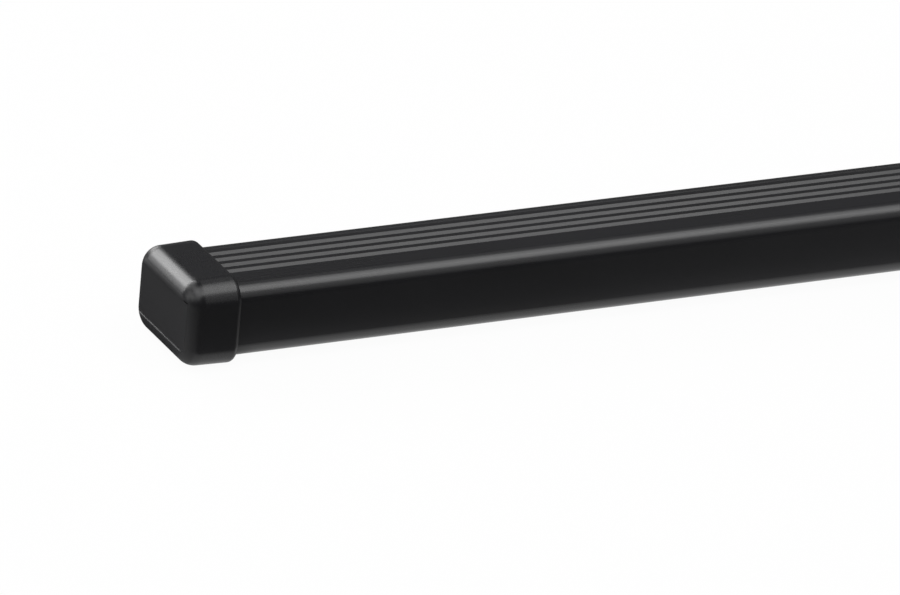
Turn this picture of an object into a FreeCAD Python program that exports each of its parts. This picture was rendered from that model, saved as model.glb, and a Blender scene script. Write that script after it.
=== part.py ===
import FreeCAD, Part
import math
import os

# Roof rack crossbar: a steel tube in a grooved plastic jacket, closed by a moulded cap at each end.
# Lengths in millimetres. +X runs along the bar, +Z is up, and the origin lies under the middle of the
# bar, level with the lowest edge of the caps.

# Whole bar
overall_length = 1180.0
bar_width = 32.0
bar_height = 22.0
bar_corner_radius = 4.6

# Steel tube inside the jacket
side_cover = 1.0
bottom_cover = 1.0
top_cover = 1.5
tube_wall = 2.0

# Grooves along the top of the jacket
groove_count = 4
groove_width = 2.17
groove_pitch = 3.935
groove_wall_angle = 30.0
first_groove_y = -4.42

# Small groove where the top meets the far rounded edge
edge_groove_y = 10.2
edge_groove_width = 1.0
edge_groove_far_angle = 20.0
edge_groove_near_angle = 60.0

# End cap, outside
cap_length = 16.3
cap_side_overhang = 2.4
cap_top_overhang = 2.5
cap_bottom_overhang = 1.95
cap_long_edge_radius = 7.3
cap_draft = 1.5
cap_end_radius = 5.3
cap_rim_radius = 1.7

# Sunken panel across the cap's end face, with a rounded lip below and a narrow groove along its top
recess_depth = 0.5
recess_height = 15.2
recess_rise = 0.3
recess_lip_radius = 0.4
recess_groove_width = 0.5
recess_groove_depth = 0.3

# End cap, inside
cap_end_wall = 3.0
skirt_clearance = 0.1
plug_length = 14.0
plug_clearance = 0.4
plug_wall = 1.6
plug_corner_radius = 1.2
plug_inner_radius = 0.4
plug_lead_in = 0.8

# Grip ribs on the cap's plug
rib_width = 1.2
rib_length = 11.0
rib_slope_length = 2.0
rib_clearance = 0.05
rib_spacing_wide = 8.0
rib_spacing_tall = 6.0
rib_root = 0.3

# How far a cutting shape runs past the face that it opens
cutter_overrun = 1.0

# Edges this near to a plane lie in it
plane_tolerance = 0.001

# Sizes that follow from those above
bar_length = overall_length - 2.0 * cap_end_wall
bar_end = bar_length / 2.0
cap_rim = overall_length / 2.0 - cap_length
draft = math.radians(cap_draft)
rim_loss = cap_rim_radius * (math.tan(draft) + 1.0 / math.cos(draft) - 1.0)
axis_height = bar_height / 2.0 + cap_bottom_overhang - rim_loss
cap_axis_height = axis_height + (cap_top_overhang - cap_bottom_overhang) / 2.0
cap_width = bar_width + 2.0 * cap_side_overhang
cap_height = bar_height + cap_top_overhang + cap_bottom_overhang
tube_width = bar_width - 2.0 * side_cover
tube_height = bar_height - bottom_cover - top_cover
tube_corner_radius = bar_corner_radius - side_cover
tube_axis_height = axis_height + (bottom_cover - top_cover) / 2.0
bore_width = tube_width - 2.0 * tube_wall
bore_height = tube_height - 2.0 * tube_wall
bore_corner_radius = tube_corner_radius - tube_wall
jacket_top = axis_height + bar_height / 2.0


def vector(x, y, z):
    return FreeCAD.Vector(x, y, z)


# A rectangle with round corners, standing across the bar at the given x
def rounded_wire(x, width, height, radius, centre_z):
    half_w = width / 2.0
    half_h = height / 2.0
    corners = (
        (half_w - radius, half_h - radius, 0.0),
        (-(half_w - radius), half_h - radius, 90.0),
        (-(half_w - radius), -(half_h - radius), 180.0),
        (half_w - radius, -(half_h - radius), 270.0),
    )
    ends = []
    arcs = []
    for y, z, start in corners:
        points = []
        for turn in (0.0, 45.0, 90.0):
            angle = math.radians(start + turn)
            points.append(vector(x, y + radius * math.cos(angle), centre_z + z + radius * math.sin(angle)))
        arcs.append(Part.Arc(points[0], points[1], points[2]).toShape())
        ends.append((points[0], points[2]))
    edges = []
    for i in range(4):
        edges.append(arcs[i])
        edges.append(Part.makeLine(ends[i][1], ends[(i + 1) % 4][0]))
    return Part.Wire(edges)


# A straight bar with that section between two x positions
def rounded_bar(x_from, x_to, width, height, radius, centre_z):
    face = Part.Face(rounded_wire(x_from, width, height, radius, centre_z))
    return face.extrude(vector(x_to - x_from, 0, 0))


# Where one groove starts, reaches its root and ends, seen from the near side
def groove_points():
    grooves = []
    depth = groove_width / 2.0 * math.tan(math.radians(groove_wall_angle))
    for i in range(groove_count):
        centre = first_groove_y + i * groove_pitch
        grooves.append((centre - groove_width / 2.0, centre, centre + groove_width / 2.0, depth))
    near = math.tan(math.radians(edge_groove_near_angle))
    far = math.tan(math.radians(edge_groove_far_angle))
    near_part = edge_groove_width * far / (near + far)
    start = edge_groove_y
    grooves.append((start, start + near_part, start + edge_groove_width, near_part * near))
    return grooves


# One groove as a long prism, taken away from the jacket
def groove_cutter(start, root, end, depth, x_from, x_to):
    slope_near = (root - start) / depth
    slope_far = (end - root) / depth
    corners = (
        (start - slope_near * cutter_overrun, jacket_top + cutter_overrun),
        (root, jacket_top - depth),
        (end + slope_far * cutter_overrun, jacket_top + cutter_overrun),
    )
    points = [vector(x_from, y, z) for y, z in corners]
    wire = Part.makePolygon(points + [points[0]])
    return Part.Face(wire).extrude(vector(x_to - x_from, 0, 0))


# One stretch of the jacket between two x positions
def jacket_stretch(x_from, x_to):
    outside = rounded_bar(x_from, x_to, bar_width, bar_height, bar_corner_radius, axis_height)
    inside = rounded_bar(x_from, x_to, tube_width, tube_height, tube_corner_radius, tube_axis_height)
    body = outside.cut(inside)
    for start, root, end, depth in groove_points():
        body = body.cut(groove_cutter(start, root, end, depth, x_from, x_to))
    return body


# Jacket: its faces are parted where the rims of the caps stand, so that the open stretch is a face of its own
def make_jacket():
    left = jacket_stretch(-bar_end, -cap_rim)
    middle = jacket_stretch(-cap_rim, cap_rim)
    right = jacket_stretch(cap_rim, bar_end)
    return middle.fuse([left, right])


# Square steel tube, as long as the jacket
def make_tube():
    outside = rounded_bar(-bar_end, bar_end, tube_width, tube_height, tube_corner_radius, tube_axis_height)
    bore = rounded_bar(-bar_end, bar_end, bore_width, bore_height, bore_corner_radius, tube_axis_height)
    return outside.cut(bore)


# Outside of the cap: it narrows toward the end face, whose edges are well rounded
def cap_outside():
    x_rim = -cap_rim
    x_end = -overall_length / 2.0
    taper = cap_length * math.tan(draft)
    radius = cap_long_edge_radius
    rim = rounded_wire(x_rim, cap_width, cap_height, radius, cap_axis_height)
    end = rounded_wire(x_end, cap_width - 2.0 * taper, cap_height - 2.0 * taper, radius - taper, cap_axis_height)
    body = Part.makeLoft([rim, end], True, True)
    body = body.makeFillet(cap_end_radius, edges_at(body, x_end))
    return body.makeFillet(cap_rim_radius, edges_at(body, x_rim))


# Edges of a solid that lie wholly in the plane at the given x
def edges_at(body, x):
    found = []
    for edge in body.Edges:
        box = edge.BoundBox
        if abs(box.XMin - x) < plane_tolerance and abs(box.XMax - x) < plane_tolerance:
            found.append(edge)
    return found


# Outline, in the XZ plane, of the room for the sunken panel
def recess_outline():
    x_face = -overall_length / 2.0
    x_open = x_face - cutter_overrun
    x_floor = x_face + recess_depth
    x_groove = x_floor + recess_groove_depth
    centre = cap_axis_height + recess_rise
    top = centre + recess_height / 2.0
    bottom = centre - recess_height / 2.0
    groove_bottom = top - recess_groove_width
    radius = recess_lip_radius
    bulge = radius * math.sqrt(0.5)
    lip_start = vector(x_face + radius, 0, bottom)
    lip_middle = vector(x_face + radius - bulge, 0, bottom - radius + bulge)
    lip_end = vector(x_face, 0, bottom - radius)
    points = [
        lip_end,
        vector(x_open, 0, bottom - radius),
        vector(x_open, 0, top),
        vector(x_groove, 0, top),
        vector(x_groove, 0, groove_bottom),
        vector(x_floor, 0, groove_bottom),
        vector(x_floor, 0, bottom),
        lip_start,
    ]
    edges = [Part.makeLine(points[i], points[i + 1]) for i in range(len(points) - 1)]
    edges.append(Part.Arc(lip_start, lip_middle, lip_end).toShape())
    return Part.Wire(edges)


# Room for the sunken panel, which runs out through the rounded sides of the end face
def recess_cutter():
    width = cap_width + 2.0 * cutter_overrun
    face = Part.Face(recess_outline())
    face.translate(vector(0, -width / 2.0, 0))
    return face.extrude(vector(0, width, 0))


# Room for the end of the bar inside the skirt
def skirt_cutter():
    width = bar_width + 2.0 * skirt_clearance
    height = bar_height + 2.0 * skirt_clearance
    radius = bar_corner_radius + skirt_clearance
    return rounded_bar(-bar_end, -cap_rim + cutter_overrun, width, height, radius, axis_height)


# Hollow plug that goes into the tube
def make_plug():
    width = bore_width - 2.0 * plug_clearance
    height = bore_height - 2.0 * plug_clearance
    x_start = -bar_end
    x_stop = -bar_end + plug_length
    outside = rounded_bar(x_start, x_stop, width, height, plug_corner_radius, tube_axis_height)
    outside = outside.makeChamfer(plug_lead_in, edges_at(outside, x_stop))
    inner_width = width - 2.0 * plug_wall
    inner_height = height - 2.0 * plug_wall
    inside = rounded_bar(x_start, x_stop, inner_width, inner_height, plug_inner_radius, tube_axis_height)
    return outside.cut(inside)


# One grip rib on the plug, pointing out along +Z from the plug's axis, with a sloping front
def rib_upward(reach, along):
    base = reach - (plug_clearance - rib_clearance) - rib_root
    x_start = -bar_end
    x_slope = x_start + rib_length - rib_slope_length
    x_stop = x_start + rib_length
    corners = ((x_start, base), (x_start, reach), (x_slope, reach), (x_stop, base + rib_root), (x_stop, base))
    points = [vector(x, along - rib_width / 2.0, z) for x, z in corners]
    wire = Part.makePolygon(points + [points[0]])
    return Part.Face(wire).extrude(vector(0, rib_width, 0))


# All grip ribs: two on each wide side and two on each narrow side of the plug
def make_ribs():
    ribs = []
    wide_reach = bore_height / 2.0 - rib_clearance
    tall_reach = bore_width / 2.0 - rib_clearance
    for turn, reach, spacing in (
        (0.0, wide_reach, rib_spacing_wide),
        (180.0, wide_reach, rib_spacing_wide),
        (90.0, tall_reach, rib_spacing_tall),
        (270.0, tall_reach, rib_spacing_tall),
    ):
        for side in (-0.5, 0.5):
            rib = rib_upward(reach, side * spacing)
            rib.rotate(vector(0, 0, 0), vector(1, 0, 0), turn)
            rib.translate(vector(0, 0, tube_axis_height))
            ribs.append(rib)
    return ribs


# Left cap in one piece: skirt, end wall with its recess, plug and ribs
def make_cap():
    cap = cap_outside().cut(recess_cutter())
    cap = cap.cut(skirt_cutter())
    cap = cap.fuse(make_plug())
    cap = cap.fuse(make_ribs())
    return cap.removeSplitter()


def turned_about_z(shape):
    other = shape.copy()
    other.rotate(vector(0, 0, 0), vector(0, 0, 1), 180.0)
    return other


def single_solid(shape, name):
    if len(shape.Solids) != 1:
        raise RuntimeError(name + " is not one solid")
    solid = shape.Solids[0]
    if not solid.isValid():
        raise RuntimeError(name + " is not valid")
    return solid


def main():
    os.makedirs("parts", exist_ok=True)
    cap = make_cap()
    nodes = {
        "steel_tube": make_tube(),
        "ribbed_cover": make_jacket(),
        "end_cap_left": cap,
        "end_cap_right": turned_about_z(cap),
    }
    for name, shape in nodes.items():
        solid = single_solid(shape, name)
        solid.exportStep("parts/" + name + ".step")
        box = solid.BoundBox
        print(name, round(solid.Volume, 1), [round(v, 2) for v in
              (box.XMin, box.YMin, box.ZMin, box.XMax, box.YMax, box.ZMax)])


main()
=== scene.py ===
import math

import bpy
from mathutils import Matrix, Vector


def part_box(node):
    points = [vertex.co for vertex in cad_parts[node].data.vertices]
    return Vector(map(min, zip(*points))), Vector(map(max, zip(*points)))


# Roof rack crossbar in satin black plastic on a pale floor. Metres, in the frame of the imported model.

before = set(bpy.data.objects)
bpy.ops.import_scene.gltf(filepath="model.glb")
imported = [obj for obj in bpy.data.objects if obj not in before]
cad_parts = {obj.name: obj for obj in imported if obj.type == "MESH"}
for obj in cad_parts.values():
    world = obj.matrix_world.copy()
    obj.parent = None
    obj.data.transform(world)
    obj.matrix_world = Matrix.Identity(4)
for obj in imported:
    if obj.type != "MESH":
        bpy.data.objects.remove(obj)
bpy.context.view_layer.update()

# The left cap's outer end and the bar's near side, from which the camera and the light are placed
outer_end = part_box("end_cap_left")[0].x
near_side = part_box("ribbed_cover")[0].y

# Camera, set by the outline of the bar and its left cap in the photograph
picture_width_px = 900
picture_height_px = 595
rim_centre_px = (213.73, 301.445)
pixels_per_metre = 3578.0
focal_px = 9600.0
sensor_width_mm = 36.0
view_azimuth = math.radians(-28.546)
view_elevation = math.radians(24.157)
view_roll = math.radians(-5.428)
view_limits = (0.1, 50.0)
rim_depth = 0.0163
bar_axis_height = 0.012905

# Lamps: each is a rectangle that the left cap sees in a given direction
lamp_distance = 2.6
lamp_target = Vector((outer_end + 0.050, 0.0, 0.013))

# Name, direction, direction of the long side, long and short angle in degrees, radiance
lamp_settings = (
    ("overhead_lamp", (0.472, 0.000, 0.882), (0.0, 1.0, 0.0), 24.0, 15.0, 2.56),
    ("overhead_front_lamp", (0.472, -0.357, 0.806), (0.0, 1.0, 0.0), 24.0, 15.0, 3.30),
    ("front_lamp", (0.441, -0.677, 0.589), (1.0, 0.0, 0.0), 16.0, 20.0, 0.74),
    ("low_front_lamp", (0.441, -0.832, 0.336), (1.0, 0.0, 0.0), 16.0, 16.0, 0.56),
    ("rear_lamp", (0.441, 0.407, 0.799), (0.0, 1.0, 0.0), 30.0, 14.0, 0.44),
    ("low_rear_lamp", (0.441, 0.795, 0.416), (1.0, 0.0, 0.0), 44.0, 30.0, 0.05),
    ("back_lamp", (-0.320, 0.795, 0.515), (0.84, 0.0, 0.53), 56.0, 12.0, 3.84),
    ("middle_back_lamp", (-0.278, 0.795, 0.539), (0.88, 0.0, 0.46), 33.0, 12.0, 3.49),
    ("edge_lamp", (-0.601, 0.795, 0.084), (0.0, 0.0, 1.0), 14.0, 14.0, 1.83),
    ("far_corner_lamp", (-0.20, 0.93, 0.32), (1.0, 0.0, 0.0), 36.0, 18.0, 1.48),
    ("low_far_corner_lamp", (0.05, 0.97, 0.20), (1.0, 0.0, 0.0), 24.0, 20.0, 2.00),
    ("right_lamp", (0.82, 0.00, 0.57), (0.0, 1.0, 0.0), 24.0, 20.0, 0.87),
    ("corner_lamp", (-0.42, -0.14, 0.90), (0.0, 1.0, 0.0), 28.0, 24.0, 1.80),
    ("corner_back_lamp", (-0.35, 0.40, 0.85), (0.0, 1.0, 0.0), 36.0, 20.0, 1.07),
    ("corner_side_lamp", (-0.54, 0.56, 0.63), (0.0, 1.0, 0.0), 24.0, 16.0, 1.14),
    ("corner_top_lamp", (-0.03, 0.57, 0.82), (1.0, 0.0, 0.0), 20.0, 14.0, 0.85),
    ("corner_right_lamp", (0.04, -0.16, 0.99), (1.0, 0.0, 0.0), 38.0, 22.0, 1.51),
    ("corner_front_lamp", (-0.08, -0.51, 0.85), (1.0, 0.0, 0.0), 46.0, 20.0, 2.06),
    ("low_corner_lamp", (-0.50, -0.55, 0.62), (1.0, 0.0, 0.0), 22.0, 18.0, 1.14),
    ("left_lamp", (-0.84, -0.08, 0.50), (0.0, 1.0, 0.0), 44.0, 24.0, 1.44),
    ("low_left_lamp", (-0.95, 0.22, 0.20), (0.0, 1.0, 0.0), 24.0, 14.0, 1.40),
)

# World: dark grey, a little darker overhead
horizon_grey = 0.10
overhead_grey = 0.06

# Floor: the camera sees mostly its glow, and a little of its lit surface, which holds the shadow
floor_size = 12.0
floor_colour = (0.82, 0.82, 0.82, 1.0)
seen_glow_share = 0.96

# Glow of the floor in reflections: an even level, and a painted reflection in a strip under the bar's near
# side, dimmed by painted shade beside the cap
reflected_glow = 0.10
painted_strip_glow = 0.82
strip_line = near_side - 0.0005
strip_reach = (0.005, 0.010)
painted_cap_shade = 0.34
painted_cap_shade_reach = (0.018, 0.026)

# Wider patches of painted reflection in that glow: level, centre, and the distances at which the patch
# starts to fade and ends
painted_reflection_patches = (
    (0.08, (outer_end - 0.045, -0.005), (0.020, 0.075)),
    (0.07, (outer_end + 0.340, -0.060), (0.050, 0.300)),
    (0.80, (outer_end - 0.110, 0.150), (0.050, 0.125)),
)

# Black plastic: colour, gloss, and how far tone and roughness wander
black = (0.0036, 0.0036, 0.0052)
darker_share = 0.85
lighter_share = 1.18
specular_level = 0.68
satin_roughness = 0.28
corner_roughness = 0.36
matte_roughness = 0.60
long_side_share = 0.40
cloud_roughness = 0.03
grain_roughness = 0.02

# Clouds of tone: how many per metre, their stretch along the bar, their detail and the range that shows
cloud_per_metre = 45.0
cloud_stretch = 0.35
cloud_detail = 3.0
cloud_range = (0.35, 0.65)

# Ranges of the surface's direction in which one zone turns into another, and of the low lip's height
upward_range = (0.03, 0.30)
downward_range = (-0.12, -0.02)
end_range = (0.30, 0.60)
corner_range = (0.10, 0.40)
low_lip_range = (0.007, 0.010)

# Zinc-coated steel
steel_tones = ((0.50, 0.51, 0.52), (0.62, 0.63, 0.64))
flake_scale = 140.0
flake_roughness = (0.32, 0.52)

# Grain: how fine it is per metre, its stretch along the bar, its strength and its depth
cover_grain = (1500.0, 0.012, 0.12, 0.00002)
cap_grain = (4200.0, 1.0, 0.025, 0.00002)
steel_grain = (900.0, 1.0, 0.2, 0.00003)
grain_detail = 2.0


def add_object(name, data):
    item = bpy.data.objects.new(name, data)
    bpy.context.scene.collection.objects.link(item)
    return item


# Stands an object at a place, with its own three axes in the given directions
def stand(item, across, upward, backward, place):
    item.matrix_world = Matrix((
        (across.x, upward.x, backward.x, place.x),
        (across.y, upward.y, backward.y, place.y),
        (across.z, upward.z, backward.z, place.z),
        (0.0, 0.0, 0.0, 1.0),
    ))


def add_camera():
    level = Vector((math.cos(view_azimuth), math.sin(view_azimuth), 0.0))
    backward = Vector((math.sin(view_azimuth) * math.cos(view_elevation),
                       -math.cos(view_azimuth) * math.cos(view_elevation),
                       math.sin(view_elevation)))
    upright = backward.cross(level)
    right = level * math.cos(view_roll) - upright * math.sin(view_roll)
    top = level * math.sin(view_roll) + upright * math.cos(view_roll)
    right_of_centre = (rim_centre_px[0] - picture_width_px / 2.0) / pixels_per_metre
    above_centre = (picture_height_px / 2.0 - rim_centre_px[1]) / pixels_per_metre
    rim_centre = Vector((outer_end + rim_depth, 0.0, bar_axis_height))
    picture_centre = rim_centre - right * right_of_centre - top * above_centre
    data = bpy.data.cameras.new("camera")
    data.sensor_width = sensor_width_mm
    data.lens = focal_px * sensor_width_mm / picture_width_px
    data.clip_start, data.clip_end = view_limits
    camera = add_object("camera", data)
    stand(camera, right, top, backward, picture_centre + backward * (focal_px / pixels_per_metre))
    bpy.context.scene.camera = camera


# A soft lamp of the given angular size, radiance and direction; its long side lies along the given vector
def add_lamp(name, toward, long_side, long_angle, short_angle, radiance):
    direction = Vector(toward).normalized()
    along = Vector(long_side)
    along = (along - direction * along.dot(direction)).normalized()
    data = bpy.data.lights.new(name, "AREA")
    data.shape = "RECTANGLE"
    data.size = 2.0 * lamp_distance * math.tan(math.radians(long_angle) / 2.0)
    data.size_y = 2.0 * lamp_distance * math.tan(math.radians(short_angle) / 2.0)
    data.energy = radiance * math.pi * data.size * data.size_y
    lamp = add_object(name, data)
    lamp.visible_camera = False
    stand(lamp, along, direction.cross(along), direction, lamp_target + direction * lamp_distance)


# Turns a material or the world over to nodes and empties them
def empty_nodes(owner):
    owner.use_nodes = True
    owner.node_tree.nodes.clear()
    return owner.node_tree.nodes, owner.node_tree.links


# Gives an input a number, or links a node's output to it
def feed(links, socket, value):
    if isinstance(value, (int, float)):
        socket.default_value = value
    else:
        links.new(value, socket)


def math_node(nodes, links, operation, *values):
    node = nodes.new("ShaderNodeMath")
    node.operation = operation
    for socket, value in zip(node.inputs, values):
        feed(links, socket, value)
    return node.outputs[0]


# Goes smoothly from start to end while the value goes from low to high
def smooth_range(nodes, links, value, low, high, start, end):
    node = nodes.new("ShaderNodeMapRange")
    node.interpolation_type = "SMOOTHSTEP"
    for name, number in (("From Min", low), ("From Max", high), ("To Min", start), ("To Max", end)):
        node.inputs[name].default_value = number
    links.new(value, node.inputs["Value"])
    return node.outputs["Result"]


# Goes evenly from start to end while the share goes from zero to one
def even_range(nodes, links, share, start, end):
    node = nodes.new("ShaderNodeMapRange")
    links.new(share, node.inputs["Value"])
    feed(links, node.inputs["To Min"], start)
    feed(links, node.inputs["To Max"], end)
    return node.outputs["Result"]


def split_axes(nodes, links, vector):
    parts = nodes.new("ShaderNodeSeparateXYZ")
    links.new(vector, parts.inputs[0])
    return parts.outputs["X"], parts.outputs["Y"], parts.outputs["Z"]


def add_world():
    world = bpy.data.worlds.new("studio")
    bpy.context.scene.world = world
    nodes, links = empty_nodes(world)
    output = nodes.new("ShaderNodeOutputWorld")
    background = nodes.new("ShaderNodeBackground")
    coordinates = nodes.new("ShaderNodeTexCoord")
    ramp = nodes.new("ShaderNodeValToRGB")
    ramp.color_ramp.interpolation = "EASE"
    for element, grey in zip(ramp.color_ramp.elements, (horizon_grey, overhead_grey)):
        element.color = (grey, grey, grey, 1.0)
    height = split_axes(nodes, links, coordinates.outputs["Generated"])[2]
    links.new(height, ramp.inputs["Fac"])
    links.new(ramp.outputs["Color"], background.inputs["Color"])
    links.new(background.outputs[0], output.inputs[0])


# A soft patch of painted glow on the floor, painted shade where the level is below zero, or where
# length_share is 0 a strip without end along the bar
def floor_patch(nodes, links, level, centre, reach, length_share=1.0):
    coordinates = nodes.new("ShaderNodeTexCoord")
    scaled = nodes.new("ShaderNodeVectorMath")
    scaled.operation = "MULTIPLY"
    scaled.inputs[1].default_value = (length_share, 1.0, 0.0)
    links.new(coordinates.outputs["Object"], scaled.inputs[0])
    distance = nodes.new("ShaderNodeVectorMath")
    distance.operation = "DISTANCE"
    distance.inputs[1].default_value = (length_share * centre[0], centre[1], 0.0)
    links.new(scaled.outputs[0], distance.inputs[0])
    return smooth_range(nodes, links, distance.outputs["Value"], *reach, level, 0.0)


# The level at which the floor glows where it is seen in a reflection: an even level, plus painted
# reflections and painted shade
def painted_glow_in_reflections(nodes, links):
    # Painted reflection: a strip of glow under the bar's near side, with painted shade where it passes the
    # cap
    strip = floor_patch(nodes, links, painted_strip_glow, (0.0, strip_line), strip_reach, length_share=0.0)
    shade = floor_patch(nodes, links, -painted_cap_shade, (outer_end, strip_line), painted_cap_shade_reach)
    level = math_node(nodes, links, "MULTIPLY", strip, math_node(nodes, links, "ADD", shade, 1.0))
    # Painted reflections: wider patches of glow on the floor, seen only in reflections
    for painted_patch_glow, centre, reach in painted_reflection_patches:
        patch = floor_patch(nodes, links, painted_patch_glow, centre, reach)
        level = math_node(nodes, links, "ADD", level, patch)
    return math_node(nodes, links, "ADD", level, reflected_glow)


def floor_material():
    material = bpy.data.materials.new("floor")
    nodes, links = empty_nodes(material)
    output = nodes.new("ShaderNodeOutputMaterial")
    diffuse = nodes.new("ShaderNodeBsdfDiffuse")
    diffuse.inputs["Color"].default_value = floor_colour
    glow = nodes.new("ShaderNodeEmission")
    mix = nodes.new("ShaderNodeMixShader")
    path = nodes.new("ShaderNodeLightPath")
    seen = path.outputs["Is Camera Ray"]
    glossy = path.outputs["Is Glossy Ray"]
    transmitted = path.outputs["Is Transmission Ray"]
    reflected = math_node(nodes, links, "MAXIMUM", glossy, transmitted)
    # Reflected rays see only the glow, at the level of the painted reflections; the camera sees white glow
    level = math_node(nodes, links, "MULTIPLY", painted_glow_in_reflections(nodes, links), reflected)
    links.new(math_node(nodes, links, "ADD", level, seen), glow.inputs["Strength"])
    share = math_node(nodes, links, "MULTIPLY", seen, seen_glow_share)
    links.new(math_node(nodes, links, "ADD", share, reflected), mix.inputs["Fac"])
    links.new(diffuse.outputs[0], mix.inputs[1])
    links.new(glow.outputs[0], mix.inputs[2])
    links.new(mix.outputs[0], output.inputs[0])
    return material


def add_floor():
    half = floor_size / 2.0
    corners = [(-half, -half, 0.0), (half, -half, 0.0), (half, half, 0.0), (-half, half, 0.0)]
    mesh = bpy.data.meshes.new("floor")
    mesh.from_pydata(corners, [], [(0, 1, 2, 3)])
    mesh.materials.append(floor_material())
    floor = add_object("floor", mesh)


# Where the surface is matte: the end face, its lower edge and low lip, and in part the upright long sides
def matte_zone(nodes, links, normal, position):
    sideways, _, upward = split_axes(nodes, links, normal)
    height = split_axes(nodes, links, position)[2]
    not_up = smooth_range(nodes, links, upward, *upward_range, 1.0, 0.0)
    not_down = smooth_range(nodes, links, upward, *downward_range, 0.0, 1.0)
    endward = math_node(nodes, links, "ABSOLUTE", sideways)
    at_end = smooth_range(nodes, links, endward, *end_range, 0.0, 1.0)
    low = smooth_range(nodes, links, height, *low_lip_range, 1.0, 0.0)
    face = math_node(nodes, links, "MULTIPLY", not_up, math_node(nodes, links, "MAXIMUM", not_down, at_end))
    low_lip = math_node(nodes, links, "MULTIPLY", low, at_end)
    zone = math_node(nodes, links, "MAXIMUM", face, low_lip)
    share = smooth_range(nodes, links, at_end, 0.0, 1.0, long_side_share, 1.0)
    return math_node(nodes, links, "MULTIPLY", zone, share)


# Where two rounded edges meet above an upright edge: the corners that touch first and lose their gloss
def corner_zone(nodes, links, normal):
    zone = 1.0
    for part in split_axes(nodes, links, normal):
        size = math_node(nodes, links, "ABSOLUTE", part)
        share = smooth_range(nodes, links, size, *corner_range, 0.0, 1.0)
        zone = math_node(nodes, links, "MULTIPLY", share, zone)
    return zone


# Noise in the object's own space, finer across the bar than along it where stretch is below one
def noise(nodes, links, position, per_metre, stretch, detail):
    mapping = nodes.new("ShaderNodeMapping")
    mapping.inputs["Scale"].default_value = (per_metre * stretch, per_metre, per_metre)
    texture = nodes.new("ShaderNodeTexNoise")
    texture.inputs["Scale"].default_value = 1.0
    texture.inputs["Detail"].default_value = detail
    links.new(position, mapping.inputs["Vector"])
    links.new(mapping.outputs["Vector"], texture.inputs["Vector"])
    return texture.outputs["Fac"]


def blend_colour(nodes, links, factor, first, second):
    mix = nodes.new("ShaderNodeMix")
    mix.data_type = "RGBA"
    mix.inputs["A"].default_value = (*first, 1.0)
    mix.inputs["B"].default_value = (*second, 1.0)
    links.new(factor, mix.inputs["Factor"])
    return mix.outputs["Result"]


# Raises the grain on a surface and gives its noise for other uses
def add_grain(nodes, links, shader, position, grain_settings):
    per_metre, stretch, strength, depth = grain_settings
    grain = noise(nodes, links, position, per_metre, stretch, grain_detail)
    bump = nodes.new("ShaderNodeBump")
    bump.inputs["Strength"].default_value = strength
    bump.inputs["Distance"].default_value = depth
    links.new(grain, bump.inputs["Height"])
    links.new(bump.outputs["Normal"], shader.inputs["Normal"])
    return grain


# A new material with its nodes, links, shader and texture coordinates
def surface_material(name):
    material = bpy.data.materials.new(name)
    material.use_nodes = True
    nodes = material.node_tree.nodes
    coordinates = nodes.new("ShaderNodeTexCoord")
    return material, nodes, material.node_tree.links, nodes["Principled BSDF"], coordinates.outputs


# Black plastic with its grain: the extruded cover has fine lines along it, the moulded caps an even grain
def black_plastic(name, grain_settings):
    material, nodes, links, shader, coordinates = surface_material(name)
    position = coordinates["Object"]
    normal = coordinates["Normal"]
    shader.inputs["Specular IOR Level"].default_value = specular_level
    cloud = noise(nodes, links, position, cloud_per_metre, cloud_stretch, cloud_detail)
    tone = smooth_range(nodes, links, cloud, *cloud_range, 0.0, 1.0)
    darker = tuple(darker_share * part for part in black)
    lighter = tuple(lighter_share * part for part in black)
    links.new(blend_colour(nodes, links, tone, darker, lighter), shader.inputs["Base Color"])
    grain = add_grain(nodes, links, shader, position, grain_settings)
    corner = corner_zone(nodes, links, normal)
    satin = even_range(nodes, links, corner, satin_roughness, corner_roughness)
    matte = matte_zone(nodes, links, normal, position)
    roughness = even_range(nodes, links, matte, satin, matte_roughness)
    for texture, amount in ((cloud, cloud_roughness), (grain, grain_roughness)):
        part = even_range(nodes, links, texture, -amount, amount)
        roughness = math_node(nodes, links, "ADD", roughness, part)
    links.new(roughness, shader.inputs["Roughness"])
    return material


# Zinc-coated steel with its flakes
def galvanised_steel(name):
    material, nodes, links, shader, coordinates = surface_material(name)
    position = coordinates["Object"]
    shader.inputs["Metallic"].default_value = 1.0
    flakes = nodes.new("ShaderNodeTexVoronoi")
    flakes.inputs["Scale"].default_value = flake_scale
    links.new(position, flakes.inputs["Vector"])
    tone, gloss, _ = split_axes(nodes, links, flakes.outputs["Color"])
    links.new(blend_colour(nodes, links, tone, *steel_tones), shader.inputs["Base Color"])
    roughness = smooth_range(nodes, links, gloss, 0.0, 1.0, *flake_roughness)
    links.new(roughness, shader.inputs["Roughness"])
    add_grain(nodes, links, shader, position, steel_grain)
    return material


def dress(node, material):
    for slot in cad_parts[node].material_slots:
        slot.material = material


add_camera()
for settings in lamp_settings:
    add_lamp(*settings)
add_world()
add_floor()
cap_plastic = black_plastic("cap_plastic_look", cap_grain)
dress("end_cap_left", cap_plastic)
dress("end_cap_right", cap_plastic)
dress("ribbed_cover", black_plastic("cover_plastic_look", cover_grain))
dress("steel_tube", galvanised_steel("galvanised_steel_look"))
bpy.context.scene.view_settings.view_transform = "Standard"
